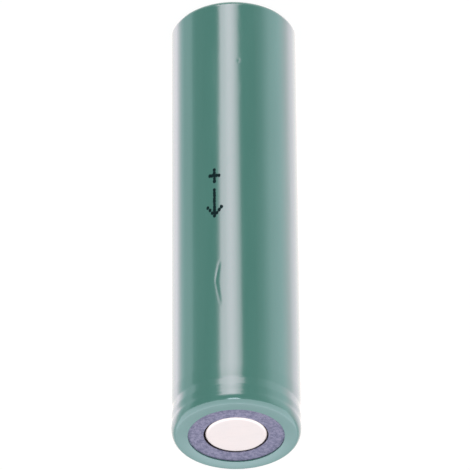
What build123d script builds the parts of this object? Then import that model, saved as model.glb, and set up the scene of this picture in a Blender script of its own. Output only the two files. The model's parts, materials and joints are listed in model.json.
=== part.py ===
"""Cylindrical rechargeable cell, standing on its negative end.

The origin is at the middle of the underside and +Z points along the cell's axis, out of the
positive terminal.  All sizes are in millimetres.
"""
from build123d import *
import os

# ---------------------------------------------------------------- driving dimensions

# whole cell
cell_diameter = 17.9            # over the shrink sleeve
cell_height = 67.3              # over the sleeve's two lips

# shrink sleeve
sleeve_wall = 0.15
sleeve_gap = 0.02               # between the sleeve and what it is shrunk on to
sleeve_corner = 0.85            # outer radius where the sleeve turns in over an end
sleeve_opening = 13.2           # diameter left open at both ends
groove_dip = 0.1                # how far the sleeve sinks over the bead groove
dip_blend = 5.0                 # radius that blends the dip into the wall

# fibre washer over the crimped end
washer_thickness = 0.3
washer_diameter = 15.6
washer_bore = 8.85

# steel can
can_wall = 0.25
can_corner = 0.9                # outer radius of the base corner and of the crimp
negative_recess = 0.05          # base contact pad above the underside of the sleeve
negative_pad = 12.6             # diameter of the base contact pad
pad_slope = 0.25                # radial width of the step around the pad
crimp_opening = 13.0            # diameter inside the crimped lip
bead_depth = 1.4
bead_width = 2.4
bead_mouth = 0.6                # outer radius at the mouth of the groove
bead_root = 0.5                 # outer radius at the bottom of the groove

# gasket
gasket_wall = 0.5
gasket_gap = 0.02               # between the gasket and the can wall
gasket_lip = 0.15               # how far the gasket shows inside the crimp
seat_gap = 0.03                 # around the plates held in the gasket

# positive cap
cap_sheet = 0.35
cap_diameter = 8.5
cap_edge = 0.42
cap_recess = 0.2                # cap top below the top of the sleeve
cap_root = 0.3
vent_hole = 0.55                # gas holes in the side of the cap

# sealing plate
plate_sheet = 0.6
dish_diameter = 6.4
dish_slope = 0.4
dish_corner = 0.4
dish_rim = 0.7
gas_hole = 1.6
seat_ring = 3.2                 # outer diameter of the raised valve seat
seat_height = 0.15

# safety valve
rubber_diameter = 4.8
rubber_thickness = 0.8
valve_sheet = 0.3
valve_diameter = 5.4
valve_rim_height = 0.55
valve_rim = 0.35
spring_space = 2.0              # installed height of the spring
spring_wire = 0.4
spring_diameter = 3.9           # over the wire
spring_turns = 2.5
spring_end_gap = 0.02

# current collectors and lead
collector_sheet = 0.3
collector_diameter = 15.4
collector_bore = 3.2
collector_slots = 8
base_collector_sheet = 0.2
base_collector_diameter = 15.8
base_collector_slots = 6
base_collector_lift = 0.45      # disc above the can floor around its welded dimple
dimple_diameter = 2.6
slot_length = 3.4
slot_width = 0.9
slot_centre = 5.3               # radius of the middle of each slot
lead_sheet = 0.15
lead_width = 4.0
lead_fold = 5.6                 # from the axis to the outside of the fold
lead_fold_radius = 0.7
lead_weld_start = 1.1           # from the axis to the free end of each welded leg
lead_height = 2.4               # collector to the underside of the dish

# ring that holds the roll down
ring_bore = 14.6
ring_wall_gap = 0.12
ring_play = 0.05                # between the ring and the underside of the bead

# wound electrodes
separator_thickness = 0.12
positive_thickness = 0.75
coating_thickness = 0.18
core_thickness = 0.06
layer_gap = 0.015               # between neighbouring layers
bond_gap = 0.01                 # inside the coated negative strip
roll_gap = 0.1                  # between the roll and the can wall
smallest_core = 1.2             # least radius left open in the middle of the roll
edge_strip_thickness = 0.1
edge_strip_height = 1.3
separator_overhang = 0.5        # separator above the positive plate
negative_overhang = 0.2         # negative strip above the positive plate
bare_edge = 1.3                 # uncoated foot of the negative core
separator_foot = 0.8            # separator above the base collector
positive_foot = 1.55            # positive plate above the base collector

# ---------------------------------------------------------------- derived sizes

sleeve_radius = cell_diameter / 2
cap_top = cell_height - cap_recess
can_radius = sleeve_radius - sleeve_wall - sleeve_gap
can_inner = can_radius - can_wall
can_floor = sleeve_wall + sleeve_gap
pad_floor = negative_recess

washer_top = cell_height - sleeve_wall
can_top = washer_top - washer_thickness
crimp_underside = can_top - can_wall
flange_top = crimp_underside - gasket_wall
plate_top = flange_top - cap_sheet
gasket_seat = plate_top - plate_sheet
bead_shelf = gasket_seat - gasket_wall
bead_top = bead_shelf - can_wall
bead_bottom = bead_top - bead_width
bead_middle = (bead_top + bead_bottom) / 2
bead_underside = bead_bottom - can_wall
groove_dip_reach = bead_width / 2 + bead_mouth / 2

gasket_radius = can_inner - gasket_gap
seat_radius = gasket_radius - gasket_wall - seat_gap

spring_top = cap_top - cap_sheet
spring_bottom = spring_top - spring_space
valve_bottom = spring_bottom - valve_sheet
rubber_bottom = valve_bottom - rubber_thickness
dish_floor = rubber_bottom - seat_height
dish_underside = dish_floor - plate_sheet

collector_top = dish_underside - lead_height
collector_bottom = collector_top - collector_sheet
positive_top = collector_bottom - edge_strip_height

base_inside = can_floor + can_wall
dimple_inside = pad_floor + can_wall
base_collector_bottom = base_inside + base_collector_lift
base_collector_top = base_collector_bottom + base_collector_sheet
positive_bottom = base_collector_top + positive_foot
separator_bottom = base_collector_top + separator_foot

negative_thickness = core_thickness + 2 * (coating_thickness + bond_gap)
winding_pitch = 2 * separator_thickness + positive_thickness + negative_thickness + 4 * layer_gap
layers_above_first = winding_pitch - layer_gap
roll_room = can_inner - roll_gap - layers_above_first - winding_pitch / 4
half_turns = int((roll_room - smallest_core) / (winding_pitch / 2)) + 1
roll_start = roll_room - (half_turns - 1) * winding_pitch / 2
separator_inner_at = roll_start
positive_at = separator_inner_at + separator_thickness + layer_gap
separator_outer_at = positive_at + positive_thickness + layer_gap
coating_inner_at = separator_outer_at + separator_thickness + layer_gap
core_at = coating_inner_at + coating_thickness + bond_gap
coating_outer_at = core_at + core_thickness + bond_gap
edge_strip_at = positive_at + (positive_thickness - edge_strip_thickness) / 2

# ---------------------------------------------------------------- shared shapes


def pressed_sheet(corners, radii, thickness, side):
    """Section of a sheet of even thickness, from the corners of one of its faces."""
    with BuildSketch(Plane.XZ) as section:
        with BuildLine():
            FilletPolyline(*corners, radius=radii)
            offset(amount=thickness, side=side, closed=True)
        make_face()
    return section.sketch


def ring_section(inner, outer, bottom, top):
    """Section of a plain ring, or of a disc when inner is zero."""
    with BuildSketch(Plane.XZ) as section:
        with Locations(((inner + outer) / 2, (bottom + top) / 2)):
            Rectangle(outer - inner, top - bottom)
    return section.sketch


def wound_strip(inner, thickness, bottom, first=0, last=half_turns):
    """End view of one wound layer: half circles struck in turn from two centres."""
    with BuildSketch(Plane.XY.offset(bottom)) as end_view:
        with BuildLine():
            for radius in (inner, inner + thickness):
                for turn in range(first, last):
                    side = 1 if turn % 2 else -1
                    middle = (side * winding_pitch / 4, 0)
                    start_angle = 180 if turn % 2 else 0
                    CenterArc(middle, radius + turn * winding_pitch / 2, start_angle, 180)
            for turn in (first, last):
                side = 1 if turn % 2 else -1
                across = inner + turn * winding_pitch / 2
                start = side * winding_pitch / 4 - side * across
                Line((start, 0), (start - side * thickness, 0))
        make_face()
    return end_view.sketch


def collector_slot_pattern(count, bottom):
    """Radial slots that let electrolyte and gas pass through a collector disc."""
    with BuildSketch(Plane.XY.offset(bottom)) as pattern:
        with PolarLocations(slot_centre, count):
            SlotOverall(slot_length, slot_width)
    return pattern.sketch


os.makedirs("parts", exist_ok=True)

# ---------------------------------------------------------------- outside

# shrink sleeve, turned in over both ends and sunk a little over the bead groove
with BuildPart() as sleeve:
    dip_low = (sleeve_radius, bead_middle - groove_dip_reach)
    dip_middle = (sleeve_radius - groove_dip, bead_middle)
    dip_high = (sleeve_radius, bead_middle + groove_dip_reach)
    sleeve_face = [
        (sleeve_opening / 2, 0),
        (sleeve_radius, 0),
        dip_low,
        dip_middle,
        dip_high,
        (sleeve_radius, cell_height),
        (sleeve_opening / 2, cell_height),
    ]
    sleeve_radii = [sleeve_corner, dip_blend, dip_blend, dip_blend, sleeve_corner]
    revolve(pressed_sheet(sleeve_face, sleeve_radii, sleeve_wall, Side.LEFT), axis=Axis.Z)
sleeve.part.label = "sleeve"
export_step(sleeve.part, "parts/sleeve.step")

# insulating fibre washer between the crimped lip and the sleeve
with BuildPart() as top_washer:
    revolve(ring_section(washer_bore / 2, washer_diameter / 2, can_top, washer_top), axis=Axis.Z)
top_washer.part.label = "top_washer"
export_step(top_washer.part, "parts/top_washer.step")

# drawn steel can: contact pad, bead groove and crimped lip
with BuildPart() as can:
    can_face = [
        (0, pad_floor),
        (negative_pad / 2, pad_floor),
        (negative_pad / 2 + pad_slope, can_floor),
        (can_radius, can_floor),
        (can_radius, bead_bottom),
        (can_radius - bead_depth, bead_bottom),
        (can_radius - bead_depth, bead_top),
        (can_radius, bead_top),
        (can_radius, can_top),
        (crimp_opening / 2, can_top),
    ]
    pad_blend = can_wall + 0.05
    bead_radii = [bead_mouth, bead_root, bead_root, bead_mouth]
    can_radii = [pad_blend, pad_blend, can_corner] + bead_radii + [can_corner]
    revolve(pressed_sheet(can_face, can_radii, can_wall, Side.LEFT), axis=Axis.Z)
can.part.label = "can"
export_step(can.part, "parts/can.step")

# ---------------------------------------------------------------- seal and positive terminal

# nylon gasket, a channel round the edges of the cap and the sealing plate
with BuildPart() as gasket:
    with BuildSketch(Plane.XZ) as gasket_section:
        with BuildLine():
            Polyline(
                (crimp_opening / 2 - gasket_lip, crimp_underside),
                (gasket_radius, crimp_underside),
                (gasket_radius, bead_shelf),
                (can_inner - bead_depth, bead_shelf),
                (can_inner - bead_depth, gasket_seat),
                (gasket_radius - gasket_wall, gasket_seat),
                (gasket_radius - gasket_wall, flange_top),
                (crimp_opening / 2 - gasket_lip, flange_top),
                close=True,
            )
        make_face()
        lower_corner = gasket_section.vertices().group_by(Axis.X)[-1].sort_by(Axis.Y)[0]
        fillet(lower_corner, bead_mouth - can_wall + gasket_gap)
        upper_corner = gasket_section.vertices().group_by(Axis.X)[-1].sort_by(Axis.Y)[-1]
        fillet(upper_corner, can_corner - can_wall + gasket_gap)
    revolve(axis=Axis.Z)
gasket.part.label = "gasket"
export_step(gasket.part, "parts/gasket.step")

# pressed positive cap with its flange and four gas holes
with BuildPart() as positive_cap:
    cap_face = [
        (0, cap_top),
        (cap_diameter / 2, cap_top),
        (cap_diameter / 2, flange_top),
        (seat_radius, flange_top),
    ]
    revolve(pressed_sheet(cap_face, [cap_edge, cap_root], cap_sheet, Side.RIGHT), axis=Axis.Z)
    for side_plane in (Plane.XZ, Plane.YZ):
        with BuildSketch(side_plane):
            with Locations((0, (flange_top + cap_top) / 2)):
                Circle(vent_hole / 2)
        extrude(amount=cap_diameter, both=True, mode=Mode.SUBTRACT)
positive_cap.part.label = "positive_cap"
export_step(positive_cap.part, "parts/positive_cap.step")

# sealing plate, dished for the safety valve, with a gas hole and a raised seat
with BuildPart() as sealing_plate:
    plate_face = [
        (gas_hole / 2, dish_floor),
        (dish_diameter / 2, dish_floor),
        (dish_diameter / 2 + dish_slope, plate_top),
        (seat_radius, plate_top),
    ]
    revolve(pressed_sheet(plate_face, [dish_corner, dish_rim], plate_sheet, Side.RIGHT), axis=Axis.Z)
    with BuildSketch(Plane.XY.offset(dish_floor)):
        Circle(seat_ring / 2)
        Circle(gas_hole / 2, mode=Mode.SUBTRACT)
    extrude(amount=seat_height)
sealing_plate.part.label = "sealing_plate"
export_step(sealing_plate.part, "parts/sealing_plate.step")

# ---------------------------------------------------------------- safety valve

# rubber disc that shuts the gas hole
with BuildPart() as valve_rubber:
    with BuildSketch(Plane.XY.offset(rubber_bottom)):
        Circle(rubber_diameter / 2)
    extrude(amount=rubber_thickness)
valve_rubber.part.label = "valve_rubber"
export_step(valve_rubber.part, "parts/valve_rubber.step")

# shallow steel cup that spreads the spring's load over the rubber
with BuildPart() as valve_plate:
    cup_face = [
        (0, valve_bottom),
        (valve_diameter / 2, valve_bottom),
        (valve_diameter / 2, valve_bottom + valve_sheet + valve_rim_height),
    ]
    revolve(pressed_sheet(cup_face, [valve_rim], valve_sheet, Side.LEFT), axis=Axis.Z)
valve_plate.part.label = "valve_plate"
export_step(valve_plate.part, "parts/valve_plate.step")

# compression spring between the cup and the inside of the cap
with BuildPart() as vent_spring:
    with BuildLine() as spring_line:
        coil_bottom = spring_bottom + spring_wire / 2 + spring_end_gap
        coil_rise = spring_space - spring_wire - 2 * spring_end_gap
        coil_radius = (spring_diameter - spring_wire) / 2
        Helix(coil_rise / spring_turns, coil_rise, coil_radius, center=(0, 0, coil_bottom))
    with BuildSketch(Plane(origin=spring_line.line @ 0, z_dir=spring_line.line % 0)):
        Circle(spring_wire / 2)
    sweep(path=spring_line.line, is_frenet=True)
vent_spring.part.label = "vent_spring"
export_step(vent_spring.part, "parts/vent_spring.step")

# ---------------------------------------------------------------- current collection

# slotted disc welded to the upper edge of the positive plate
with BuildPart() as positive_collector:
    with BuildSketch(Plane.XY.offset(collector_bottom)):
        Circle(collector_diameter / 2)
        Circle(collector_bore / 2, mode=Mode.SUBTRACT)
    extrude(amount=collector_sheet)
    extrude(
        collector_slot_pattern(collector_slots, collector_bottom),
        amount=collector_sheet,
        mode=Mode.SUBTRACT,
    )
positive_collector.part.label = "positive_collector"
export_step(positive_collector.part, "parts/positive_collector.step")

# nickel ribbon folded between the collector and the underside of the dish
with BuildPart() as positive_lead:
    lead_face = [
        (collector_bore / 2 + lead_sheet, collector_top),
        (lead_fold, collector_top),
        (lead_fold, dish_underside),
        (lead_weld_start, dish_underside),
    ]
    extrude(
        pressed_sheet(lead_face, 2 * [lead_fold_radius], lead_sheet, Side.LEFT),
        amount=lead_width / 2,
        both=True,
    )
positive_lead.part.label = "positive_lead"
export_step(positive_lead.part, "parts/positive_lead.step")

# plastic ring between the bead and the collector, which keeps the roll from moving
with BuildPart() as vibration_ring:
    ring_radius = can_inner - ring_wall_gap
    ring_top = bead_underside - ring_play
    revolve(ring_section(ring_bore / 2, ring_radius, collector_top, ring_top), axis=Axis.Z)
    ring_edge = vibration_ring.edges().group_by(Axis.Z)[-1].sort_by(SortBy.RADIUS)[-1]
    fillet(ring_edge, bead_mouth - can_wall)
vibration_ring.part.label = "vibration_ring"
export_step(vibration_ring.part, "parts/vibration_ring.step")

# slotted disc under the roll, dimpled down to its weld on the can floor
with BuildPart() as negative_collector:
    base_face = [
        (0, dimple_inside),
        (dimple_diameter / 2, dimple_inside),
        (dimple_diameter / 2 + base_collector_lift, base_collector_bottom),
        (base_collector_diameter / 2, base_collector_bottom),
    ]
    base_radii = 2 * [base_collector_sheet + 0.1]
    revolve(pressed_sheet(base_face, base_radii, base_collector_sheet, Side.LEFT), axis=Axis.Z)
    extrude(
        collector_slot_pattern(base_collector_slots, base_collector_bottom),
        amount=base_collector_sheet,
        mode=Mode.SUBTRACT,
    )
negative_collector.part.label = "negative_collector"
export_step(negative_collector.part, "parts/negative_collector.step")

# ---------------------------------------------------------------- wound roll

# each layer: name, start of the spiral, thickness, bottom, top, first half turn
separator_top = positive_top + separator_overhang
negative_top = positive_top + negative_overhang
coating_bottom = base_collector_top + bare_edge
roll_layers = [
    ("separator_inner", separator_inner_at, separator_thickness, separator_bottom, separator_top, 0),
    ("positive_plate", positive_at, positive_thickness, positive_bottom, positive_top, 1),
    ("positive_edge_strip", edge_strip_at, edge_strip_thickness, positive_top, collector_bottom, 1),
    ("separator_outer", separator_outer_at, separator_thickness, separator_bottom, separator_top, 0),
    ("negative_coating_inner", coating_inner_at, coating_thickness, coating_bottom, negative_top, 0),
    ("negative_core", core_at, core_thickness, base_collector_top, negative_top, 0),
    ("negative_coating_outer", coating_outer_at, coating_thickness, coating_bottom, negative_top, 0),
]
for name, start, thickness, bottom, top, first_turn in roll_layers:
    with BuildPart() as layer:
        extrude(wound_strip(start, thickness, bottom, first=first_turn), amount=top - bottom)
    layer.part.label = name
    export_step(layer.part, f"parts/{name}.step")
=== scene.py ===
"""Looks of a sleeved cylindrical cell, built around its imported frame.

The cell stands on its negative end, with +Z out of the positive terminal. Sizes are in metres,
apart from the tables whose comments give millimetres or degrees.
"""
import json
import math
import random

import bmesh
import bpy
import numpy as np
from mathutils import Matrix, Vector, noise


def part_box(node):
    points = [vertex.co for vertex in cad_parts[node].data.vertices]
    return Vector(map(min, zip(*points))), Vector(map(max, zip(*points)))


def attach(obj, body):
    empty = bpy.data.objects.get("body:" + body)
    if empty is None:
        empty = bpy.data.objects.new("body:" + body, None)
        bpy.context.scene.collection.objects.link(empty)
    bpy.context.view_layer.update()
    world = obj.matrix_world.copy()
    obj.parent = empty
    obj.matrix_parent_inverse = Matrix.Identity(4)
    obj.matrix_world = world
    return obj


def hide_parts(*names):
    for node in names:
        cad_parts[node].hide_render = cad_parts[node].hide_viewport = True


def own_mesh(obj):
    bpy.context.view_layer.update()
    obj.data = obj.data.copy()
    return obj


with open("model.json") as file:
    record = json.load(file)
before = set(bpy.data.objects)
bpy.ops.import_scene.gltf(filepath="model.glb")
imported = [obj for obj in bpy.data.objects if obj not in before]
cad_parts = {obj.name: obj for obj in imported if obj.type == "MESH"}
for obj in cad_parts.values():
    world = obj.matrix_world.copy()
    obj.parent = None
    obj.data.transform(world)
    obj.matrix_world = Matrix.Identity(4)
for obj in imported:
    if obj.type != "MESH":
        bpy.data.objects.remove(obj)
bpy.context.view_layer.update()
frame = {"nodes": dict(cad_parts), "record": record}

bl_info = {
    "name": "Sleeved Cylindrical Cell",
    "version": (1, 0, 0),
    "blender": (4, 5, 0),
    "location": "3D View > Sidebar > Cell",
    "description": "Builds the visible pieces of a sleeved cylindrical cell and its studio",
    "category": "Add Mesh",
}

MM = 0.001
TURN = 2 * math.pi
BODY = "cell"
VALVE = "vent_valve"

# heights and radii that the frame sets
SLEEVE_LOW, SLEEVE_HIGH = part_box("sleeve")
CAN_LOW, CAN_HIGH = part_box("can")
WASHER_LOW, WASHER_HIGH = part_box("top_washer")
CAP_LOW, CAP_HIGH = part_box("positive_cap")
PLATE_LOW, PLATE_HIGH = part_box("sealing_plate")
RUBBER_LOW, RUBBER_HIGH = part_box("valve_rubber")
CUP_LOW, CUP_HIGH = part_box("valve_plate")
SPRING_LOW, SPRING_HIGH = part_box("vent_spring")

FINISHES = {row["slot"]: (*row["base_color"], 1) for row in frame["record"]["materials"]}


def hole_radius(node):
    """Radius of the hole through a CAD node."""
    return min(math.hypot(point.co.x, point.co.y) for point in frame["nodes"][node].data.vertices)


# ---------------------------------------------------------------- sizes and colours a user may change


def length(label, about, value, precision=5):
    """A length that a user may change."""
    return bpy.props.FloatProperty(
        name=label, description=about, default=value, unit="LENGTH", precision=precision)


def tint(label, about, value):
    """A colour that a user may change."""
    return bpy.props.FloatVectorProperty(
        name=label, description=about, default=value, subtype="COLOR", size=4, min=0, max=1)


class CellSleeveSizes(bpy.types.PropertyGroup):
    """Shape of the shrink sleeve."""

    wall: length("Film", "Thickness of the film", 0.15 * MM)
    shoulder_out: length("Shoulder run", "Width of the rounded shoulder at the positive end", 0.75 * MM)
    shoulder_up: length("Shoulder rise", "Height of the rounded shoulder at the positive end", 1.35 * MM)
    heel: length("Heel", "Radius where the film turns in under the cell", 0.85 * MM)
    opening: length("Opening", "Radius left open at each end", 6.6 * MM)
    lip_drop: length("Lip drop", "How far the upper lip falls towards its edge", 0.06 * MM)
    ripple: length("Ripple", "Depth of the film's unevenness", 0.003 * MM, 6)


class CellMarkSizes(bpy.types.PropertyGroup):
    """The printed polarity mark."""

    bearing: bpy.props.FloatProperty(
        name="Bearing", description="Place of the mark round the cell, from the front", subtype="ANGLE",
        default=math.radians(18))
    start: length("Start", "Lowest dot above the base", 29.0 * MM)
    along: length("Spacing along", "Distance between dots along the cell", 0.48 * MM)
    across: length("Spacing across", "Distance between dots round the cell", 0.33 * MM)
    dot: length("Dot", "Radius of a dot", 0.245 * MM)


class CellFinish(bpy.types.PropertyGroup):
    """Colours of the outside."""

    film: tint("Film", "Colour of the shrink film", (0.087, 0.232, 0.197, 1))
    film_dark: tint("Film shade", "Colour of the film's thicker streaks", (0.079, 0.217, 0.183, 1))
    ink: tint("Ink", "Colour of the printed mark", (0.005, 0.018, 0.019, 1))
    washer: tint("Fibre", "Colour of the fibre washer", (0.25, 0.237, 0.342, 1))
    washer_dark: tint("Fibre shade", "Colour of the washer's darker fibres", (0.105, 0.104, 0.172, 1))
    cap: tint("Cap", "Colour of the cap's nickel plate", (0.416, 0.361, 0.312, 1))
    nickel: tint("Nickel", "Colour of the can's nickel plate", FINISHES["nickel_plate"])


class CellStudio(bpy.types.PropertyGroup):
    """Camera and light."""

    elevation: bpy.props.FloatProperty(
        name="Elevation", description="Camera above the horizon", subtype="ANGLE",
        default=math.radians(32.61))
    distance: length("Distance", "Camera to the middle of the positive end", 0.851)
    lens: bpy.props.FloatProperty(
        name="Lens", description="Focal length of the camera", subtype="DISTANCE_CAMERA", default=479.3)
    lean: bpy.props.FloatProperty(
        name="Lean", description="Turn of the view about the line of sight", subtype="ANGLE",
        default=math.radians(179.565))


# ---------------------------------------------------------------- mesh tools


def add_object(name, mesh, body, material, replaced=()):
    """Puts a finished mesh in the scene, on its body and in its material slot."""
    piece = bpy.data.objects.new(name, mesh)
    bpy.context.scene.collection.objects.link(piece)
    mesh.materials.append(material)
    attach(piece, body)
    if replaced:
        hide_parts(*replaced)
    return piece


def arc_points(centre, run, rise, start, end, count):
    """Points along a quarter or part of an ellipse of a section, between two angles in degrees."""
    angles = np.radians(np.linspace(start, end, count))
    return [(centre[0] + run * math.cos(a), centre[1] + rise * math.sin(a)) for a in angles]


def rounded_path(corners, radii, per_corner=8):
    """A section line whose inner corners are rounded, as a list of radius and height."""
    points = [corners[0]]
    for before, corner, after, radius in zip(corners, corners[1:], corners[2:], radii):
        here = Vector(corner)
        back = (Vector(before) - here).normalized()
        ahead = (Vector(after) - here).normalized()
        half = back.angle(ahead) / 2
        reach = radius / math.tan(half)
        middle = here + (back + ahead).normalized() * radius / math.sin(half)
        first = here + back * reach - middle
        last = here + ahead * reach - middle
        turn = first.angle_signed(last)
        for step in range(per_corner + 1):
            spoke = first.copy()
            spoke.rotate(Matrix.Rotation(-turn * step / per_corner, 2))
            points.append(tuple(middle + spoke))
    points.append(corners[-1])
    return points


def thickened(line, thickness):
    """Closes a section line into a sheet, offset to its left."""
    line = [Vector(p) for p in line]
    other = []
    for index, point in enumerate(line):
        before = line[max(index - 1, 0)]
        after = line[min(index + 1, len(line) - 1)]
        along = (after - before).normalized()
        other.append(point + Vector((-along.y, along.x)) * thickness)
    return [tuple(p) for p in line] + [tuple(p) for p in reversed(other)]


def subdivided(section, longest):
    """Adds points to a closed section so that no side is longer than a length."""
    fine = []
    for start, end in zip(section, section[1:] + section[:1]):
        length = math.dist(start, end)
        parts = max(1, math.ceil(length / longest))
        for part in range(parts):
            t = part / parts
            fine.append((start[0] + (end[0] - start[0]) * t, start[1] + (end[1] - start[1]) * t))
    return fine


def revolved(name, section, angles=192, shape=None):
    """Turns a closed section about Z, at a number of even angles or at given ones.

    shape moves a point, given its radius, angle and height.
    """
    if isinstance(angles, int):
        angles = [TURN * step / angles for step in range(angles)]
    mesh = bpy.data.meshes.new(name)
    work = bmesh.new()
    rings = []
    for radius, height in section:
        if radius < 1e-7:
            rings.append([work.verts.new((0, 0, height))])
            continue
        ring = []
        for angle in angles:
            r, z = shape(radius, angle, height) if shape else (radius, height)
            ring.append(work.verts.new((r * math.sin(angle), -r * math.cos(angle), z)))
        rings.append(ring)
    for low, high in zip(rings, rings[1:] + rings[:1]):
        for step in range(len(angles)):
            nxt = (step + 1) % len(angles)
            corners = [low[step % len(low)], low[nxt % len(low)]]
            corners += [high[nxt % len(high)], high[step % len(high)]]
            unique = list(dict.fromkeys(corners))
            if len(unique) > 2:
                work.faces.new(unique)
    bmesh.ops.recalc_face_normals(work, faces=work.faces)
    work.to_mesh(mesh)
    work.free()
    smooth(mesh)
    return mesh


def smooth(mesh, angle=32):
    """Smooth shading that keeps edges sharper than an angle in degrees."""
    mesh.polygons.foreach_set("use_smooth", [True] * len(mesh.polygons))
    mesh.set_sharp_from_angle(angle=math.radians(angle))


def ripple(x, y, z, scale, seed=0.0):
    """Smooth noise between -1 and 1 at a place, in waves per metre."""
    return noise.noise(Vector((x * scale + seed, y * scale - seed, z * scale + 2 * seed)))


# ---------------------------------------------------------------- shader tools


class Nodes:
    """Short way to lay out a node tree."""

    def __init__(self, tree):
        self.tree = tree

    def feed(self, socket, value):
        """Links a socket to another, or sets its value."""
        if isinstance(value, bpy.types.NodeSocket):
            self.tree.links.new(value, socket)
        else:
            socket.default_value = value

    def add(self, kind, inputs=None, **settings):
        """One node with its settings, then values or links for its inputs."""
        node = self.tree.nodes.new(kind)
        for key, value in settings.items():
            setattr(node, key, value)
        for key, value in (inputs or {}).items():
            self.feed(node.inputs[key], value)
        return node

    def math(self, operation, *values, clamp=False):
        """A maths node's result."""
        node = self.add("ShaderNodeMath", operation=operation, use_clamp=clamp)
        for index, value in enumerate(values):
            self.feed(node.inputs[index], value)
        return node.outputs[0]

    def place(self):
        """Where a point lies on the object."""
        return self.add("ShaderNodeTexCoord").outputs["Object"]

    def clouds(self, place, scale, detail, roughness=0.5):
        """Soft noise between 0 and 1."""
        return self.add("ShaderNodeTexNoise", {
            "Vector": place, "Scale": scale, "Detail": detail, "Roughness": roughness}).outputs["Fac"]

    def stretched(self, place, scale, rotation=(0.0, 0.0, 0.0)):
        """A place turned and scaled unevenly."""
        return self.add("ShaderNodeMapping", {
            "Vector": place, "Rotation": rotation, "Scale": scale}).outputs[0]

    def span(self, value, low, high, first=0.0, last=1.0):
        """A value carried from one span to another and held at its ends."""
        return self.add("ShaderNodeMapRange", {
            "Value": value, "From Min": low, "From Max": high, "To Min": first, "To Max": last}).outputs[0]

    def levels(self, value, table, limit):
        """A brightness that follows a table of places, up to a limit each way, and values."""
        most = max(level for _, level in table)
        node = self.add("ShaderNodeValToRGB", {"Fac": self.span(value, -limit, limit)})
        elements = node.color_ramp.elements
        while len(elements) < len(table):
            elements.new(0.5)
        for element, (where, level) in zip(elements, table):
            element.position = (where + limit) / (2 * limit)
            element.color = (level / most,) * 3 + (1,)
        return self.math("MULTIPLY", node.outputs["Color"], most)

    def mix(self, factor, first, second, blend="MIX"):
        """A mix of two colours."""
        node = self.add("ShaderNodeMix", data_type="RGBA", blend_type=blend)
        for index, value in ((0, factor), (6, first), (7, second)):
            self.feed(node.inputs[index], value)
        return node.outputs[2]


def new_group(name, inputs, outputs):
    """An empty shader group with named sockets, and its node layout."""
    group = bpy.data.node_groups.new(name, "ShaderNodeTree")
    kinds = {"value": "NodeSocketFloat", "colour": "NodeSocketColor", "vector": "NodeSocketVector"}
    for label, kind, default in inputs:
        socket = group.interface.new_socket(name=label, in_out="INPUT", socket_type=kinds[kind])
        socket.default_value = default
    for label, kind in outputs:
        group.interface.new_socket(name=label, in_out="OUTPUT", socket_type=kinds[kind])
    lay = Nodes(group)
    start = lay.add("NodeGroupInput")
    end = lay.add("NodeGroupOutput")
    return group, lay, start.outputs, end.inputs


def new_material(name, colour, **values):
    """A material with one Principled BSDF whose constants are set on its own sockets."""
    material = bpy.data.materials.new(name)
    material.use_nodes = True
    material.diffuse_color = colour
    lay = Nodes(material.node_tree)
    shader = material.node_tree.nodes["Principled BSDF"]
    shader.inputs["Base Color"].default_value = colour
    for key, value in values.items():
        shader.inputs[key.replace("_", " ").title().replace("Ior", "IOR")].default_value = value
    return material, lay, shader


def mottle_group():
    """Two scales of blotches and short fibres, for fibre board, rubber and paste."""
    group, lay, given, made = new_group(
        "Mottle",
        [("Scale", "value", 900.0), ("Contrast", "value", 0.2),
         ("Light", "colour", (0.5, 0.5, 0.5, 1)), ("Dark", "colour", (0.3, 0.3, 0.3, 1))],
        [("Colour", "colour"), ("Height", "value")])
    place = lay.place()
    coarse = lay.clouds(place, given["Scale"], 5.0, 0.62)
    finer = lay.math("MULTIPLY", given["Scale"], 3.0)
    fine = lay.clouds(lay.stretched(place, (1.0, 2.6, 1.0)), finer, 3.0, 0.7)
    both = lay.math("ADD", lay.math("MULTIPLY", coarse, 0.55), lay.math("MULTIPLY", fine, 0.45))
    contrast = lay.math("MULTIPLY", given["Contrast"], 14.0)
    spread = lay.math("MULTIPLY", lay.math("SUBTRACT", both, 0.5), contrast)
    tone = lay.math("ADD", spread, 0.5, clamp=True)
    group.links.new(lay.mix(tone, given["Dark"], given["Light"]), made["Colour"])
    group.links.new(both, made["Height"])
    return group


def scuff_group():
    """Sparse fine scratches in two directions, as a mask."""
    group, lay, given, made = new_group(
        "Scuffs", [("Scale", "value", 600.0), ("Amount", "value", 0.3)], [("Mask", "value")])
    place = lay.place()
    masks = []
    for turn, stretch in ((0.5, 26.0), (-1.1, 34.0)):
        spun = lay.stretched(place, (1.0, stretch, 1.0), (0.2, 0.1, turn))
        masks.append(lay.span(lay.clouds(spun, given["Scale"], 2.0), 0.62, 0.72))
    both = lay.math("MAXIMUM", *masks)
    group.links.new(lay.math("MULTIPLY", both, given["Amount"]), made["Mask"])
    return group


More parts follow.
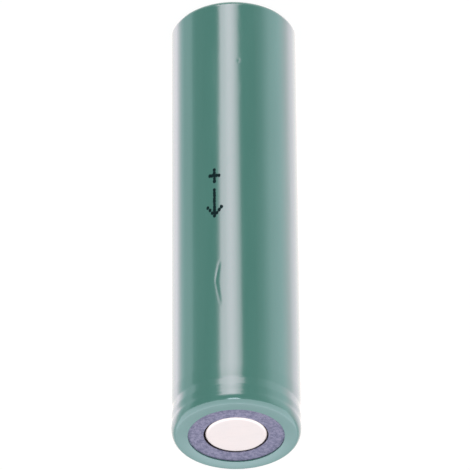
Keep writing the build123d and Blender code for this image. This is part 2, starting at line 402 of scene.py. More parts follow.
def turned_group():
    """Fine rings about the cell's axis, as drawing and pressing leave on sheet metal."""
    group, lay, given, made = new_group(
        "Turned",
        [("Scale", "value", 9000.0), ("Strength", "value", 0.1), ("Colour", "colour", (0.7, 0.7, 0.7, 1)),
         ("Roughness", "value", 0.3)],
        [("Colour", "colour"), ("Roughness", "value"), ("Height", "value")])
    place = lay.place()
    parts = lay.add("ShaderNodeSeparateXYZ", {"Vector": place}).outputs
    radius = lay.math("SQRT", lay.math("ADD", lay.math("POWER", parts["X"], 2.0),
                                       lay.math("POWER", parts["Y"], 2.0)))
    along = lay.add("ShaderNodeCombineXYZ", {"X": radius, "Y": lay.math("MULTIPLY", parts["Z"], 0.35)})
    rings = lay.clouds(along.outputs[0], given["Scale"], 4.0, 0.65)
    cloud = lay.clouds(place, 450.0, 4.0, 0.6)
    uneven = lay.math("ADD", lay.math("MULTIPLY", rings, 0.6), lay.math("MULTIPLY", cloud, 0.4))
    centred = lay.math("MULTIPLY", lay.math("SUBTRACT", uneven, 0.5), given["Strength"])
    shade = lay.math("ADD", centred, 1.0)
    tint = lay.mix(1.0, given["Colour"], lay.add("ShaderNodeCombineColor", {
        "Red": shade, "Green": shade, "Blue": shade}).outputs[0], "MULTIPLY")
    group.links.new(tint, made["Colour"])
    group.links.new(lay.math("ADD", given["Roughness"], centred, clamp=True), made["Roughness"])
    group.links.new(uneven, made["Height"])
    return group


GROUPS = {}


def shared_group(name):
    """A shared effect, built once."""
    makers = {"Mottle": mottle_group, "Turned": turned_group, "Scuffs": scuff_group}
    if name not in GROUPS:
        GROUPS[name] = makers[name]()
    return GROUPS[name]


def bump(lay, height, strength, distance):
    """A normal from a height."""
    return lay.add("ShaderNodeBump", {
        "Height": height, "Strength": strength, "Distance": distance}).outputs[0]


def mottled_material(name, light, dark, scale, contrast, roughness):
    """Matt stuff with blotches: fibre, rubber, paste, fleece."""
    material, lay, shader = new_material(name, light, roughness=roughness)
    group = lay.add("ShaderNodeGroup", node_tree=shared_group("Mottle"))
    for key, value in (("Scale", scale), ("Contrast", contrast), ("Light", light), ("Dark", dark)):
        group.inputs[key].default_value = value
    material.node_tree.links.new(group.outputs["Colour"], shader.inputs["Base Color"])
    relief = bump(lay, group.outputs["Height"], 0.5, 0.02 * MM)
    material.node_tree.links.new(relief, shader.inputs["Normal"])
    return material


def scuffed(lay, base, scale, amount):
    """A roughness raised along fine scratches."""
    group = lay.add("ShaderNodeGroup", node_tree=shared_group("Scuffs"))
    group.inputs["Scale"].default_value = scale
    group.inputs["Amount"].default_value = amount
    return lay.math("ADD", base, group.outputs["Mask"], clamp=True)


def painted_lip_shade(material, inner, outer):
    """Darkens a material between two radii: painted shade where it goes under a lip."""
    lay = Nodes(material.node_tree)
    socket = material.node_tree.nodes["Principled BSDF"].inputs["Base Color"]
    unshaded = socket.links[0].from_socket
    place = lay.place()
    flat = lay.add("ShaderNodeVectorMath", {0: place, 1: (1.0, 1.0, 0.0)}, operation="MULTIPLY").outputs[0]
    radius = lay.add("ShaderNodeVectorMath", {0: flat}, operation="LENGTH").outputs["Value"]
    wander = lay.math("MULTIPLY", lay.math("SUBTRACT", lay.clouds(place, 900.0, 3.0), 0.5), 0.5 * MM)
    mask = lay.span(lay.math("ADD", radius, wander), inner, outer)
    # painted shade: the washer darkened as it goes under the lip
    lip_shaded = lay.mix(lay.math("MULTIPLY", mask, 0.75), unshaded, (0.62, 0.75, 0.74, 1), "MULTIPLY")
    material.node_tree.links.new(lip_shaded, socket)


def metal_material(name, colour, roughness, scale, strength):
    """Drawn or pressed metal with turned marks and fine scratches."""
    material, lay, shader = new_material(name, colour, metallic=1.0)
    group = lay.add("ShaderNodeGroup", node_tree=shared_group("Turned"))
    values = {"Scale": scale, "Strength": strength, "Colour": colour, "Roughness": roughness}
    for key, value in values.items():
        group.inputs[key].default_value = value
    links = material.node_tree.links
    links.new(group.outputs["Colour"], shader.inputs["Base Color"])
    links.new(scuffed(lay, group.outputs["Roughness"], 500.0, 0.18), shader.inputs["Roughness"])
    links.new(bump(lay, group.outputs["Height"], 0.3, 0.002 * MM), shader.inputs["Normal"])
    return material


def cap_material(colour):
    """Satin nickel on the pressed cap: fine grain, a few scratches, no turned rings."""
    material, lay, shader = new_material("cap_nickel", colour, metallic=1.0)
    place = lay.place()
    cloud = lay.clouds(place, 380.0, 5.0, 0.6)
    grain = lay.clouds(lay.stretched(place, (1.0, 5.0, 1.0)), 5200.0, 3.0, 0.6)
    warm = tuple(c * k for c, k in zip(colour, (1.04, 0.99, 0.97))) + (1,)
    cool = tuple(c * k for c, k in zip(colour, (0.96, 1.0, 1.02))) + (1,)
    links = material.node_tree.links
    links.new(lay.mix(cloud, warm, cool), shader.inputs["Base Color"])
    haze = lay.span(cloud, 0.3, 0.7, 0.3, 0.4)
    links.new(scuffed(lay, haze, 420.0, 0.15), shader.inputs["Roughness"])
    links.new(bump(lay, grain, 0.25, 0.002 * MM), shader.inputs["Normal"])
    return material


def film_material(light, dark):
    """Glossy shrink film, a little streaked along the cell."""
    material, lay, shader = new_material("shrink_film", light, ior=1.6)
    place = lay.place()
    streaks = lay.clouds(lay.stretched(place, (1.0, 1.0, 0.12)), 420.0, 4.0, 0.55)
    links = material.node_tree.links
    links.new(lay.mix(lay.span(streaks, 0.3, 0.7), dark, light), shader.inputs["Base Color"])
    haze = lay.span(streaks, 0.3, 0.7, 0.07, 0.12)
    links.new(scuffed(lay, haze, 300.0, 0.05), shader.inputs["Roughness"])
    links.new(bump(lay, lay.clouds(place, 1500.0, 2.0), 0.1, 0.002 * MM), shader.inputs["Normal"])
    return material


def ink_material(colour):
    """Dot printed ink, patchy where it lies thin."""
    material, lay, shader = new_material("mark_ink", colour, roughness=0.5)
    shader.inputs["Specular IOR Level"].default_value = 0.03
    place = lay.place()
    patches = lay.clouds(place, 5000.0, 3.0, 0.6)
    thin = tuple(c * 1.4 for c in colour[:3]) + (1,)
    tone = lay.span(patches, 0.45, 0.75)
    material.node_tree.links.new(lay.mix(tone, colour, thin), shader.inputs["Base Color"])
    material.node_tree.links.new(bump(lay, patches, 0.2, 0.003 * MM), shader.inputs["Normal"])
    return material


def punched_material(name, colour):
    """Steel strip punched with rows of small round holes, shown as dark dots."""
    material, lay, shader = new_material(name, colour, metallic=1.0, roughness=0.35)
    place = lay.place()
    parts = lay.add("ShaderNodeSeparateXYZ", {"Vector": place}).outputs
    around = lay.math("MULTIPLY", lay.math("ARCTAN2", parts["X"], parts["Y"]), 8.0)
    waves = [lay.math("SINE", around), lay.math("SINE", lay.math("MULTIPLY", parts["Z"], 2600.0))]
    holes = lay.math("MULTIPLY", *waves)
    mask = lay.span(holes, 0.5, 0.62)
    dark = tuple(c * 0.12 for c in colour[:3]) + (1,)
    material.node_tree.links.new(lay.mix(mask, colour, dark), shader.inputs["Base Color"])
    return material


# ---------------------------------------------------------------- operators


class CellPiece(bpy.types.Operator):
    """Shared base of the operators that build one piece or group of pieces"""

    bl_options = {"REGISTER", "UNDO"}

    def execute(self, context):
        self.build(context.scene)
        return {"FINISHED"}


def eased(place, table):
    """A value between the rows of a table of places and values, level at each row."""
    for (low, before), (high, after) in zip(table, table[1:]):
        if low <= place <= high:
            t = (place - low) / (high - low)
            return before + (after - before) * t * t * (3 - 2 * t)
    return 0.0


# the film over the bead, in millimetres above the base
CREASE_START, CREASE, SWELL, CREASE_DEPTH = 61.2, 63.25, 64.6, 0.1
CREASE_CURVE = 1.4              # above 1 the film leaves the wall softly
TAPER = [(SWELL, 0.0), (65.65, 0.04), (66.05, 0.018), (66.8, 0.0)]
FILM_ROOM = 0.006 * MM          # kept free outside the film
INNER_ROOM = 0.012 * MM         # how far the inner face may sink where it lies on the can

# soft marks in the film: bearing in degrees, then height, run, half width, rise and bow in millimetres
FILM_MARKS = [(-4.6, 10.6, 1.0, 0.2, -0.018, 0.1), (-61.0, 31.0, 9.0, 0.5, 0.008, -0.4),
              (118.0, 41.0, 12.0, 0.5, 0.010, 0.5), (201.0, 22.0, 7.0, 0.4, -0.010, -0.3),
              (259.0, 52.0, 6.0, 0.4, 0.009, 0.2)]
# one crisp fold above the mark, in millimetres, and in degrees round the cell
FOLD_PEAK, FOLD_LOW, FOLD_HIGH = 47.6, 3.5, 4.2
FOLD_BEARING, FOLD_DRIFT_LOW, FOLD_DRIFT_HIGH = 16.9, 3.9, 4.8
FOLD_WIDTH, FOLD_DEPTH, FOLD_BEND = 0.25, 0.025, 0.35


def sink_over_bead(height):
    """How far the film sinks at a height: a crease over the bead, then a slack swell and a taper."""
    z = height / MM
    if CREASE_START < z <= CREASE:
        part = (z - CREASE_START) / (CREASE - CREASE_START)
        return CREASE_DEPTH * part ** CREASE_CURVE * MM
    if CREASE < z < SWELL:
        return CREASE_DEPTH * (SWELL - z) / (SWELL - CREASE) * MM
    return eased(z, TAPER) * MM


def film_mark_rise(angle, height, radius):
    """How far the soft marks lift or sink the film at a place, and the fold sinks it."""
    rise = 0.0
    for bearing, middle, run, half_width, lift, bow in FILM_MARKS:
        up = (height / MM - middle) / (run / 2)
        if abs(up) >= 1:
            continue
        around = (math.degrees(angle) - bearing + 180) % 360 - 180
        aside = math.radians(around) * radius / MM - bow * (up * up - 0.5)
        if abs(aside) < 3 * half_width:
            rise += lift * math.exp(-(aside / half_width) ** 2) * (1 - up * up) ** 2
    up = height / MM - FOLD_PEAK
    part = up / FOLD_HIGH if up > 0 else -up / FOLD_LOW
    if part < 1:
        away = math.hypot(up, FOLD_BEND) - FOLD_BEND
        if up > 0:
            path = FOLD_BEARING - FOLD_DRIFT_HIGH * away / FOLD_HIGH
        else:
            path = FOLD_BEARING - FOLD_DRIFT_LOW * (away / FOLD_LOW) ** 1.1
        aside = math.radians(math.degrees(angle) - path) * radius / MM
        rise -= FOLD_DEPTH * (1 - part ** 2) * math.exp(-(aside / FOLD_WIDTH) ** 2)
    return rise * MM


class CELL_OT_sleeve(CellPiece):
    """Build the shrink sleeve, turned in over both ends and sunk over the bead"""

    bl_idname = "cell.sleeve"
    bl_label = "Shrink sleeve"

    def build(self, scene):
        sizes, finish = scene.cell_sleeve, scene.cell_finish
        outer, low, high = SLEEVE_HIGH.x - FILM_ROOM, SLEEVE_LOW.z, SLEEVE_HIGH.z
        lip_edge = (sizes.opening, high - sizes.lip_drop)
        shoulder = (outer - sizes.shoulder_out, high - sizes.shoulder_up)
        face = [(sizes.opening, low)]
        face += [(r, low) for r in np.linspace(sizes.opening, outer - sizes.heel, 8)[1:-1]]
        face += arc_points((outer - sizes.heel, low + sizes.heel), sizes.heel, sizes.heel, -90, 0, 14)
        face += [(outer, z) for z in np.linspace(low + sizes.heel, shoulder[1], 340)[1:-1]]
        face += arc_points(shoulder, sizes.shoulder_out, sizes.shoulder_up, 0, 90, 26)
        face += [(shoulder[0] + (lip_edge[0] - shoulder[0]) * t,
                  high + (lip_edge[1] - high) * t * t) for t in np.linspace(0.08, 1, 12)]
        section = subdivided(thickened(face, sizes.wall), 0.3 * MM)

        def shape(radius, angle, height):
            x, y = math.sin(angle), math.cos(angle)
            if radius < sizes.opening + 0.4 * MM:
                near_edge = 1 - (radius - sizes.opening) / (0.4 * MM)
                wander = 0.035 * ripple(x, y, height * 9, 1.5, 9.0)
                wander += 0.018 * ripple(x, y, height * 9, 5.0, 5.0)
                return radius + near_edge * wander * MM, height
            if radius > outer - sizes.wall - 0.01 * MM:
                lift = sizes.ripple * min(0.0, ripple(x, y, height * 38, 2.4, 3.0) - 0.35)
                lift += 0.5 * sizes.ripple * min(0.0, ripple(x, y, height * 9, 7.0, 4.0) - 0.3)
                lift += film_mark_rise(angle, height, outer)
                moved = min(lift, FILM_ROOM) - sink_over_bead(height)
                over_groove = CREASE_START < height / MM < SWELL
                if radius < outer - sizes.wall / 2 and not over_groove:
                    moved = max(moved, -INNER_ROOM)
                return radius + moved, height
            return radius, height

        sector = (math.radians(11), math.radians(25))
        angles = [a for a in np.linspace(0, TURN, 321)[:-1] if not sector[0] <= a <= sector[1]]
        angles = sorted(angles + list(np.linspace(*sector, 54)))
        mesh = revolved("shrink_sleeve", section, angles, shape)
        add_object("shrink_sleeve", mesh, BODY,
                   film_material(tuple(finish.film), tuple(finish.film_dark)), ["sleeve"])


# plus sign and arrow towards the positive end, one row of dots for each line across the mark
MARK_ROWS = (
    "             X   ",
    "  X           X  ",
    "  X            X ",
    "XXXXX  XXXXXXXXXX",
    "  X            X ",
    "  X           X  ",
    "             X   ",
)
MARK_SLANT = 0.1                # fall of a printed row per its width


class CELL_OT_mark(CellPiece):
    """Build the printed polarity mark out of dots of ink"""

    bl_idname = "cell.mark"
    bl_label = "Polarity mark"

    def build(self, scene):
        sizes = scene.cell_mark
        draw = random.Random(11)
        work = bmesh.new()
        skin = SLEEVE_HIGH.x - FILM_ROOM
        profile = [(1.0, -0.004), (0.97, 0.004), (0.8, 0.0085), (0.45, 0.0105)]
        sides = 14
        for row, line in enumerate(MARK_ROWS):
            for column, letter in enumerate(line):
                if letter != "X":
                    continue
                z = sizes.start + column * sizes.along + draw.uniform(-0.02, 0.02) * MM
                aside = (row - 3) * sizes.across + draw.uniform(-0.015, 0.015) * MM
                z -= MARK_SLANT * aside
                size = sizes.dot * draw.uniform(0.92, 1.08)
                wobble = [draw.uniform(0.93, 1.07) for _ in range(sides)]

                def point(out, turn, lift):
                    angle = TURN * turn / sides
                    sideways = aside + out * size * 0.95 * math.sin(angle)
                    up = z + out * size * 1.3 * math.cos(angle)
                    bearing = sizes.bearing + sideways / skin
                    radius = skin + lift * MM - 0.004 * MM
                    return work.verts.new((radius * math.sin(bearing), -radius * math.cos(bearing), up))

                rings = [[point(out * wobble[k], k, lift) for k in range(sides)] for out, lift in profile]
                for lower, upper in zip(rings, rings[1:]):
                    for k in range(sides):
                        n = (k + 1) % sides
                        work.faces.new((lower[k], lower[n], upper[n], upper[k]))
                top, bottom = point(0, 0, 0.011), point(0, 0, -0.004)
                for k in range(sides):
                    n = (k + 1) % sides
                    work.faces.new((rings[-1][k], rings[-1][n], top))
                    work.faces.new((rings[0][n], rings[0][k], bottom))
        bmesh.ops.recalc_face_normals(work, faces=work.faces)
        mesh = baked(work, "polarity_mark")
        smooth(mesh, 60)
        add_object("polarity_mark", mesh, BODY, ink_material(tuple(scene.cell_finish.ink)))


HOLE_DRIFT, HOLE_BEARING = 0.12, 160    # the washer's hole is punched off centre: millimetres, degrees
LIP_SHADE_START = 6.25 * MM                 # where the painted shade on the washer starts, towards the lip


class CELL_OT_washer(CellPiece):
    """Build the fibre washer under the sleeve's upper lip"""

    bl_idname = "cell.washer"
    bl_label = "Fibre washer"

    def build(self, scene):
        bore, outer = hole_radius("top_washer"), WASHER_HIGH.x
        low, high = WASHER_LOW.z + 0.01 * MM, WASHER_HIGH.z - 0.125 * MM
        middle = (bore + outer) / 2
        line = rounded_path([(middle, high), (bore, high), (bore, low), (outer, low), (outer, high),
                             (middle, high)], [0.07 * MM, 0.03 * MM, 0.03 * MM, 0.05 * MM], 5)[:-1]
        section = subdivided(line, 0.16 * MM)

        def shape(radius, angle, height):
            x, y = math.sin(angle), math.cos(angle)
            edge = max(0, 1 - (radius - bore) / (0.9 * MM))
            rough = 0.014 * ripple(x, y, 0, 11, 2) + 0.008 * ripple(x, y, height * 900, 34, 7)
            aside = HOLE_DRIFT * math.cos(angle - math.radians(HOLE_BEARING))
            if height > high - 0.01 * MM:
                height += 0.006 * MM * ripple(x * radius / outer, y * radius / outer, 0, 26, 1)
            return radius + edge * (aside + rough) * MM, height

        finish = scene.cell_finish
        material = mottled_material("vulcanised_fibre", tuple(finish.washer), tuple(finish.washer_dark),
                                    2500.0, 0.66, 0.7)
        # painted shade on the washer towards the lip
        painted_lip_shade(material, LIP_SHADE_START, scene.cell_sleeve.opening + 0.05 * MM)
        add_object("fibre_washer", revolved("fibre_washer", section, 256, shape), BODY,
                   material, ["top_washer"])


def baked(work, name):
    """A mesh of finished geometry."""
    mesh = bpy.data.meshes.new(name)
    work.to_mesh(mesh)
    work.free()
    return mesh


def pressed(corners, radii, thickness, longest=0.3 * MM):
    """Closed section of a pressed sheet, in metres, from the corners of one face in millimetres."""
    line = rounded_path([(r * MM, z * MM) for r, z in corners], [radius * MM for radius in radii], 8)
    return subdivided(thickened(line, thickness * MM), longest)


def drilled(piece, radius, height, reach):
    """Cuts two crossed round holes right through a piece at a height."""
    for turn in (0, math.pi / 2):
        work = bmesh.new()
        lying = Matrix.Rotation(turn, 4, "Z") @ Matrix.Rotation(math.pi / 2, 4, "X")
        bmesh.ops.create_cone(work, cap_ends=True, segments=32, radius1=radius, radius2=radius,
                              depth=2 * reach, matrix=Matrix.Translation((0, 0, height)) @ lying)
        drill = bpy.data.objects.new("drill", baked(work, "drill"))
        bpy.context.scene.collection.objects.link(drill)
        cut = piece.modifiers.new("holes", "BOOLEAN")
        cut.object, cut.solver = drill, "EXACT"
        shaped = bpy.data.meshes.new_from_object(piece.evaluated_get(bpy.context.evaluated_depsgraph_get()))
        piece.modifiers.remove(cut)
        piece.data = shaped
        bpy.data.objects.remove(drill)


GAS_HOLE = 0.275 * MM           # radius


class CELL_OT_cap(CellPiece):
    """Build the pressed positive cap, its flange and its gas holes"""

    bl_idname = "cell.cap"
    bl_label = "Positive cap"

    def build(self, scene):
        top, bottom, rim = CAP_HIGH.z / MM, CAP_LOW.z / MM, CAP_HIGH.x / MM
        sheet, wall = 0.28, 4.25
        flange = bottom + 0.35
        corners = [(rim, flange), (wall, flange), (wall, top), (0, top)]
        section = pressed(corners, [0.3, 0.33], sheet, 0.2 * MM)

        def shape(radius, angle, height):
            """A small burr on the edge and the least unevenness on the top."""
            x, y = math.sin(angle), math.cos(angle)
            if height > CAP_HIGH.z - 0.1 * MM:
                height -= 0.004 * MM * (1 + ripple(x * radius * 300, y * radius * 300, 0, 1.4, 3))
            return radius + 0.012 * MM * ripple(x, y, height * 500, 4, 6) * (radius < 4.3 * MM), height

        material = cap_material(tuple(scene.cell_finish.cap))
        cap = add_object("cap", revolved("cap", section, 224, shape), BODY, material,
                         ["positive_cap"])
        drilled(cap, GAS_HOLE, (flange + top) / 2 * MM, 5 * MM)
        smooth(cap.data)


# marks on the can's base, in millimetres: four welds and a pressed ring
WELD_REACH, WELD_RADIUS, WELD_DEPTH = 1.0, 0.42, 0.05
RING_START, RING_WIDTH, RING_DEPTH = 2.35, 0.4, 0.012


class CELL_OT_can(CellPiece):
    """Build the drawn steel can: contact pad with its weld marks, bead and crimped lip"""

    bl_idname = "cell.can"
    bl_label = "Steel can"

    def build(self, scene):
        wall, outer = 0.25, CAN_HIGH.x / MM
        floor, pad, top = 0.17, CAN_LOW.z / MM, CAN_HIGH.z / MM
        low, high, root = 62.0, 64.4, CAN_HIGH.x / MM - 1.4
        corners = [(0, pad), (6.3, pad), (6.55, floor), (outer, floor), (outer, low), (root, low),
                   (root, high), (outer, high), (outer, top), (6.5, top)]
        section = pressed(corners, [0.3, 0.3, 0.9, 0.6, 0.5, 0.5, 0.6, 0.9], wall, 0.25 * MM)

        def shape(radius, angle, height):
            if height > CAN_LOW.z + 0.2 * MM or radius > 6.2 * MM:
                return radius, height
            x, y = radius * math.sin(angle), radius * math.cos(angle)
            for turn in range(4):
                spot = math.radians(45 + 90 * turn)
                across = x - WELD_REACH * MM * math.sin(spot)
                along = y - WELD_REACH * MM * math.cos(spot)
                away = math.hypot(across, along) / (WELD_RADIUS * MM)
                if away < 1:
                    height += WELD_DEPTH * MM * (1 - away * away) ** 2
            part = (radius / MM - RING_START) / RING_WIDTH
            if 0 < part < 1:
                height += RING_DEPTH * MM * math.sin(math.pi * part) ** 2
            return radius, height

        material = metal_material("can_nickel", tuple(scene.cell_finish.nickel), 0.3, 7000.0, 0.16)
        add_object("steel_can", revolved("steel_can", section, 224, shape), BODY, material,
                   ["can"])


class CELL_OT_seal(CellPiece):
    """Build the dished sealing plate, and dress the gasket and the ring over the roll"""

    bl_idname = "cell.seal"
    bl_label = "Seal"

    def build(self, scene):
        floor, top, rim = PLATE_LOW.z / MM + 0.6, PLATE_HIGH.z / MM, PLATE_HIGH.x / MM
        corners = [(0.8, floor), (3.2, floor), (3.6, top), (rim, top)]
        sheet = [(r / MM, z / MM) for r, z in pressed(corners, [0.4, 0.7], -0.6)]
        seat = [(r, z + 0.15 * (0.8 <= r <= 1.5) * (z > floor - 0.01)) for r, z in sheet]
        section = [(r * MM, z * MM) for r, z in seat]
        material = metal_material("plate_nickel", FINISHES["nickel_plate"], 0.32, 6000.0, 0.14)
        add_object("dished_plate", revolved("dished_plate", section, 160), BODY, material,
                   ["sealing_plate"])
        dress("gasket", mottled_material("nylon", FINISHES["nylon"], shaded("nylon", 0.9), 700.0, 0.12, 0.42))
        dress("vibration_ring", mottled_material(
            "polypropylene", FINISHES["polypropylene"], shaded("polypropylene", 0.92), 500.0, 0.1, 0.38))


class CELL_OT_valve(CellPiece):
    """Build the safety valve: rubber disc, pressed cup and spring"""

    bl_idname = "cell.valve"
    bl_label = "Safety valve"

    def build(self, scene):
        low, high, rim = RUBBER_LOW.z / MM, RUBBER_HIGH.z / MM, RUBBER_HIGH.x / MM
        line = rounded_path([(0, low), (rim, low), (rim, high), (0, high)], [0.15, 0.15], 6)
        section = subdivided([(r * MM, z * MM) for r, z in line], 0.2 * MM)
        rubber = mottled_material("valve_rubber", FINISHES["valve_rubber"], shaded("valve_rubber", 0.6),
                                  1400.0, 0.2, 0.6)
        add_object("rubber_disc", revolved("rubber_disc", section, 128), VALVE, rubber,
                   ["valve_rubber"])
        low, high, rim = CUP_LOW.z / MM, CUP_HIGH.z / MM, CUP_HIGH.x / MM
        cup = pressed([(0, low), (rim, low), (rim, high)], [0.35], 0.3, 0.2 * MM)
        material = metal_material("cup_nickel", FINISHES["nickel_plate"], 0.3, 6000.0, 0.14)
        add_object("valve_cup", revolved("valve_cup", cup, 128), VALVE, material,
                   ["valve_plate"])
        self.spring()

    def spring(self):
        """Wire spring with closed ends."""
        wire, turns, steps, sides = 0.2 * MM, 3.0, 216, 14
        low, high = SPRING_LOW.z + wire, SPRING_HIGH.z - wire
        middle = SPRING_HIGH.x - wire
        closed = 2 * wire * 1.02
        work = bmesh.new()
        rings = []
        for step in range(steps + 1):
            turn = turns * step / steps
            rise = closed * min(turn, 1) + closed * max(turn - 2, 0)
            rise += (high - low - 2 * closed) * min(max(turn - 1, 0), 1)
            angle = TURN * turn
            thin = 0.72 + 0.28 * min(1, 6 * min(turn, turns - turn))
            spoke = Vector((math.cos(angle), math.sin(angle), 0))
            centre = spoke * middle + Vector((0, 0, low + rise))
            rings.append([work.verts.new(centre + wire * (
                spoke * math.cos(TURN * k / sides) + Vector((0, 0, thin)) * math.sin(TURN * k / sides)))
                for k in range(sides)])
        for first, second in zip(rings, rings[1:]):
            for k in range(sides):
                n = (k + 1) % sides
                work.faces.new((first[k], first[n], second[n], second[k]))
        work.faces.new(rings[0])
        work.faces.new(rings[-1])
        bmesh.ops.recalc_face_normals(work, faces=work.faces)
        mesh = baked(work, "valve_spring")
        smooth(mesh, 50)
        material = metal_material("spring_steel", FINISHES["spring_steel"], 0.28, 5000.0, 0.1)
        spring = add_object("valve_spring", mesh, BODY, material, ["vent_spring"])
        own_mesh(spring)


def dress(node, material):
    """Gives a CAD node its material."""
    mesh = frame["nodes"][node].data
    mesh.materials.clear()
    mesh.materials.append(material)


def shaded(slot, amount):
    """A darker tone of a slot's colour."""
    red, green, blue, _ = FINISHES[slot]
    return (red * amount, green * amount, blue * amount, 1)


class CELL_OT_collectors(CellPiece):
    """Dress the collector discs, the lead and the welded edge strip"""

    bl_idname = "cell.collectors"
    bl_label = "Collectors"

    def build(self, scene):
        strip = metal_material("nickel_strip", FINISHES["nickel_strip"], 0.3, 4000.0, 0.12)
        for node in ("positive_lead", "positive_collector", "positive_edge_strip"):
            dress(node, strip)
        dress("negative_collector", metal_material(
            "collector_nickel", FINISHES["nickel_plate"], 0.34, 5000.0, 0.12))


class CELL_OT_roll(CellPiece):
    """Dress the wound roll: separators, pastes and the punched core"""

    bl_idname = "cell.roll"
    bl_label = "Wound roll"

    def build(self, scene):
        fleece = mottled_material("separator", FINISHES["separator"], shaded("separator", 0.82), 2400.0, 0.3,
                                  0.9)
        for node in ("separator_inner", "separator_outer"):
            dress(node, fleece)
        dress("positive_plate", mottled_material(
            "positive_paste", FINISHES["positive_paste"], shaded("positive_paste", 0.4), 3200.0, 0.5, 0.8))
        alloy = mottled_material("hydride_paste", FINISHES["hydride_paste"], shaded("hydride_paste", 0.5),
                                 3600.0, 0.5, 0.7)
        for node in ("negative_coating_inner", "negative_coating_outer"):
            dress(node, alloy)
        dress("negative_core", punched_material("punched_strip", FINISHES["punched_strip"]))


# studio panels as seen in the cell: degrees and brightness. Round the cell 0 is the front and
# positive is the cell's +X side; over the cell 0 is the front horizon and 180 the back one.
SIDE_PANELS = [(-180, 2.0), (-163, 1.9), (-140, 2.55), (-123, 2.85), (-109, 2.3), (-87, 1.95),
               (-68, 1.7), (-51, 0.6), (-38, 0.12), (-20, 0.05), (50, 0.05), (71, 0.15),
               (79, 0.45), (83, 1.1), (90, 1.25), (101, 1.15), (111, 1.75), (120, 2.8),
               (128, 3.4), (137, 2.8), (149, 2.35), (180, 2.0)]
COOL_PANELS = [(-110, 0), (-90, 1), (-48, 1), (-40, 0), (60, 0), (75, 1), (106, 1), (118, 0)]
FRONT_STRIP = [(-19, 0), (-13, 0.4), (-8, 3.6), (0, 6.4), (8, 7.8), (15, 7.3), (17, 6.6),
               (27, 5.6), (31, 1.9), (36, 0.2), (44, 0)]
GROUND = [(-90, 1.5), (-70, 1.2), (-56, 0.6), (-45, 0.1), (-41, 0)]
PLAIN_EDGES = [(-180, 1), (-152, 1), (-128, 0), (128, 0), (150, 1), (180, 1)]
SIDE_HEIGHT = [(-75, 0.15), (-58, 0.25), (-46, 1), (90, 1)]
STRIP_HEIGHT = [(-54, 0), (-46, 1), (-27, 1), (-24, 0.8), (-21.5, 0.3), (-18, 0.05), (-8, 0)]
STRIP_TAPER = [(-60, 0.9), (-50, 0.86), (-40, 0.83), (-38.3, 1.12), (-37.3, 1.21),
               (-36.2, 1.21), (-34.4, 1.06), (-32.6, 0.97), (-26, 1.1), (-19, 1.25)]
DOME = [(-90, 0), (0, 0.2), (12, 0.2), (22, 0.8), (27, 3.3), (34, 2.7), (47, 2.8), (90, 3.25), (135, 3.25),
        (143, 3.0), (147.4, 1.9), (153, 1.45), (180, 1.4)]
LAMP_WIDTH = [(-8, 0), (-4, 1), (10, 1), (16, 0)]
LAMP_HEIGHT = [(8, 0), (12, 8), (20, 8), (24, 0)]
PANEL_TINT = (1.0, 0.81, 0.93)
COOL_TINT = (0.9, 1.0, 1.12)
EDGE_TINT = (1.0, 0.88, 0.89)
DOME_TINT = (1.0, 1.05, 1.22)
FLOOR_RADIUS, FLOOR_GLOW = 3.0, 0.95
STRIP_MIDDLE, STRIP_SHIFT = 9.5, 1.1    # degrees: the strip widens about a place beside its middle
AIM_ACROSS, AIM_DOWN = 0.00274, 0.4286  # where the base's middle stands in the view


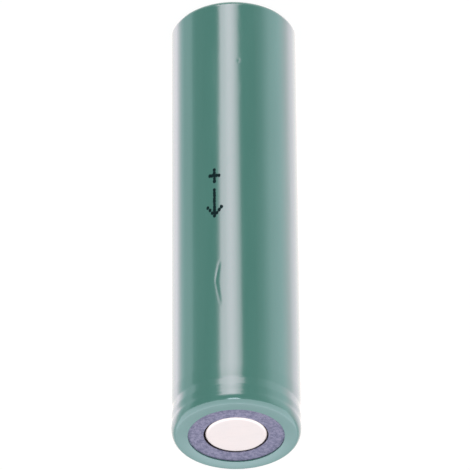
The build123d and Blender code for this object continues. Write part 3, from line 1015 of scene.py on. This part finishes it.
class CELL_OT_studio(CellPiece):
    """Build the floor, the light and the camera"""

    bl_idname = "cell.studio"
    bl_label = "Studio"

    def build(self, scene):
        work = bmesh.new()
        bmesh.ops.create_circle(work, cap_ends=True, segments=96, radius=FLOOR_RADIUS)
        mesh = baked(work, "floor")
        floor = bpy.data.objects.new("floor", mesh)
        scene.collection.objects.link(floor)
        material, lay, shader = new_material("pale_floor", (0.07, 0.07, 0.07, 1), roughness=0.95)
        from_below = lay.add("ShaderNodeNewGeometry").outputs["Backfacing"]
        seen = lay.math("SUBTRACT", 1.0, from_below)
        material.node_tree.links.new(seen, shader.inputs["Alpha"])
        shader.inputs["Specular IOR Level"].default_value = 0.0
        shader.inputs["Emission Color"].default_value = (1, 1, 1, 1)
        shader.inputs["Emission Strength"].default_value = FLOOR_GLOW
        mesh.materials.append(material)
        floor.visible_glossy = False
        self.surround(scene)
        self.camera(scene, scene.cell_studio)
        scene.view_settings.view_transform = "Standard"

    def camera(self, scene, studio):
        """Looks down on the positive end, which stands low in the view."""
        data = bpy.data.cameras.new("camera")
        data.lens = studio.lens
        data.clip_start, data.clip_end = 0.05, 20
        camera = bpy.data.objects.new("camera", data)
        scene.collection.objects.link(camera)
        top = Vector((0, 0, SLEEVE_HIGH.z))
        towards = Vector((0, -math.cos(studio.elevation), math.sin(studio.elevation)))
        focus = data.lens / data.sensor_width
        across, down = AIM_ACROSS / focus, AIM_DOWN / focus
        level = towards.to_track_quat("Z", "Y").to_matrix().to_4x4()
        pose = Matrix.Rotation(studio.lean, 4, towards) @ level
        shift = pose.to_3x3() @ Vector((-across, down, 0))
        aim = (-towards).rotation_difference((-towards + shift).normalized()).to_matrix().to_4x4()
        camera.matrix_world = Matrix.Translation(top + towards * studio.distance) @ aim @ pose
        scene.camera = camera

    def surround(self, scene):
        """A studio of soft panels that shows only in reflections, round a plain pale surround."""
        world = bpy.data.worlds.new("surround")
        scene.world = world
        world.use_nodes = True
        tree = world.node_tree
        tree.nodes.clear()
        lay = Nodes(tree)
        parts = lay.add("ShaderNodeSeparateXYZ", {
            "Vector": lay.add("ShaderNodeTexCoord").outputs["Generated"]}).outputs
        front = lay.math("MULTIPLY", parts["Y"], -1.0)
        azimuth = lay.math("DEGREES", lay.math("ARCTAN2", parts["X"], front))
        height = lay.math("DEGREES", lay.math("ARCSINE", parts["Z"]))
        over = lay.math("DEGREES", lay.math("ARCTAN2", parts["Z"], front))
        widen = lay.levels(height, STRIP_TAPER, 90)
        from_middle = lay.math("SUBTRACT", azimuth, STRIP_MIDDLE - STRIP_SHIFT)
        spread = lay.math("ADD", lay.math("MULTIPLY", from_middle, widen), STRIP_MIDDLE)

        def panel(across, width, tall):
            """A panel with a width table and a height table."""
            return lay.math("MULTIPLY", lay.levels(across, width, 180), lay.levels(height, tall, 90))

        sides = panel(azimuth, SIDE_PANELS, SIDE_HEIGHT)
        strip = panel(spread, FRONT_STRIP, STRIP_HEIGHT)
        lamp = panel(azimuth, LAMP_WIDTH, LAMP_HEIGHT)
        dome = lay.levels(over, DOME, 180)
        above = lay.span(height, -4.0, 14.0)
        below = lay.math("SUBTRACT", 1.0, above)
        low = lay.math("ADD", lay.math("MULTIPLY", sides, below), strip)
        ground = lay.levels(height, GROUND, 90)
        high = lay.math("ADD", lay.math("MULTIPLY", dome, above), lamp)
        cooler = lay.levels(azimuth, COOL_PANELS, 180)
        plain = lay.levels(azimuth, PLAIN_EDGES, 180)
        tint_left = lay.math("SUBTRACT", 1.0, plain)
        tinted = []
        for warm, cool, edge, dome_tint in zip(PANEL_TINT, COOL_TINT, EDGE_TINT, DOME_TINT):
            change = lay.math("ADD", lay.math("MULTIPLY", cooler, cool - warm), warm)
            change = lay.math("MULTIPLY", change, tint_left)
            change = lay.math("ADD", change, lay.math("MULTIPLY", plain, edge))
            lower = lay.math("MULTIPLY", low, change)
            upper = lay.math("MULTIPLY", high, dome_tint)
            tinted.append(lay.math("ADD", lay.math("ADD", lower, upper), ground))
        colour = lay.add("ShaderNodeCombineColor", dict(zip(("Red", "Green", "Blue"), tinted)))
        studio = lay.add("ShaderNodeBackground", {"Color": colour.outputs[0]})
        even = lay.add("ShaderNodeBackground", {"Color": (1, 1, 1, 1)})
        seen = lay.add("ShaderNodeLightPath").outputs
        mirror = lay.add("ShaderNodeMixShader", {"Fac": seen["Is Glossy Ray"]})
        tree.links.new(even.outputs[0], mirror.inputs[1])
        tree.links.new(studio.outputs[0], mirror.inputs[2])
        end = lay.add("ShaderNodeOutputWorld")
        tree.links.new(mirror.outputs[0], end.inputs["Surface"])


class CELL_PT_panel(bpy.types.Panel):
    """Lists the builders in the sidebar"""

    bl_idname = "CELL_PT_panel"
    bl_label = "Cylindrical cell"
    bl_space_type = "VIEW_3D"
    bl_region_type = "UI"
    bl_category = "Cell"

    def draw(self, context):
        for group in PROPERTY_GROUPS:
            values = getattr(context.scene, group)
            for name in values.__annotations__:
                self.layout.prop(values, name)
        for operator in OPERATORS:
            self.layout.operator(operator.bl_idname)


PROPERTY_GROUPS = {
    "cell_sleeve": CellSleeveSizes,
    "cell_mark": CellMarkSizes,
    "cell_finish": CellFinish,
    "cell_studio": CellStudio,
}
OPERATORS = [CELL_OT_studio, CELL_OT_sleeve, CELL_OT_mark, CELL_OT_washer, CELL_OT_cap, CELL_OT_can,
             CELL_OT_seal, CELL_OT_valve, CELL_OT_collectors, CELL_OT_roll]


def register():
    """Registers the property groups, the operators and the panel."""
    for name, group in PROPERTY_GROUPS.items():
        bpy.utils.register_class(group)
        setattr(bpy.types.Scene, name, bpy.props.PointerProperty(type=group))
    for operator in OPERATORS:
        bpy.utils.register_class(operator)
    bpy.utils.register_class(CELL_PT_panel)


def unregister():
    """Removes what register added."""
    bpy.utils.unregister_class(CELL_PT_panel)
    for operator in reversed(OPERATORS):
        bpy.utils.unregister_class(operator)
    for name, group in PROPERTY_GROUPS.items():
        delattr(bpy.types.Scene, name)
        bpy.utils.unregister_class(group)


def main():
    """Builds every piece in order."""
    register()
    for operator in OPERATORS:
        family, name = operator.bl_idname.split(".")
        getattr(getattr(bpy.ops, family), name)()


if __name__ == "__main__":
    main()
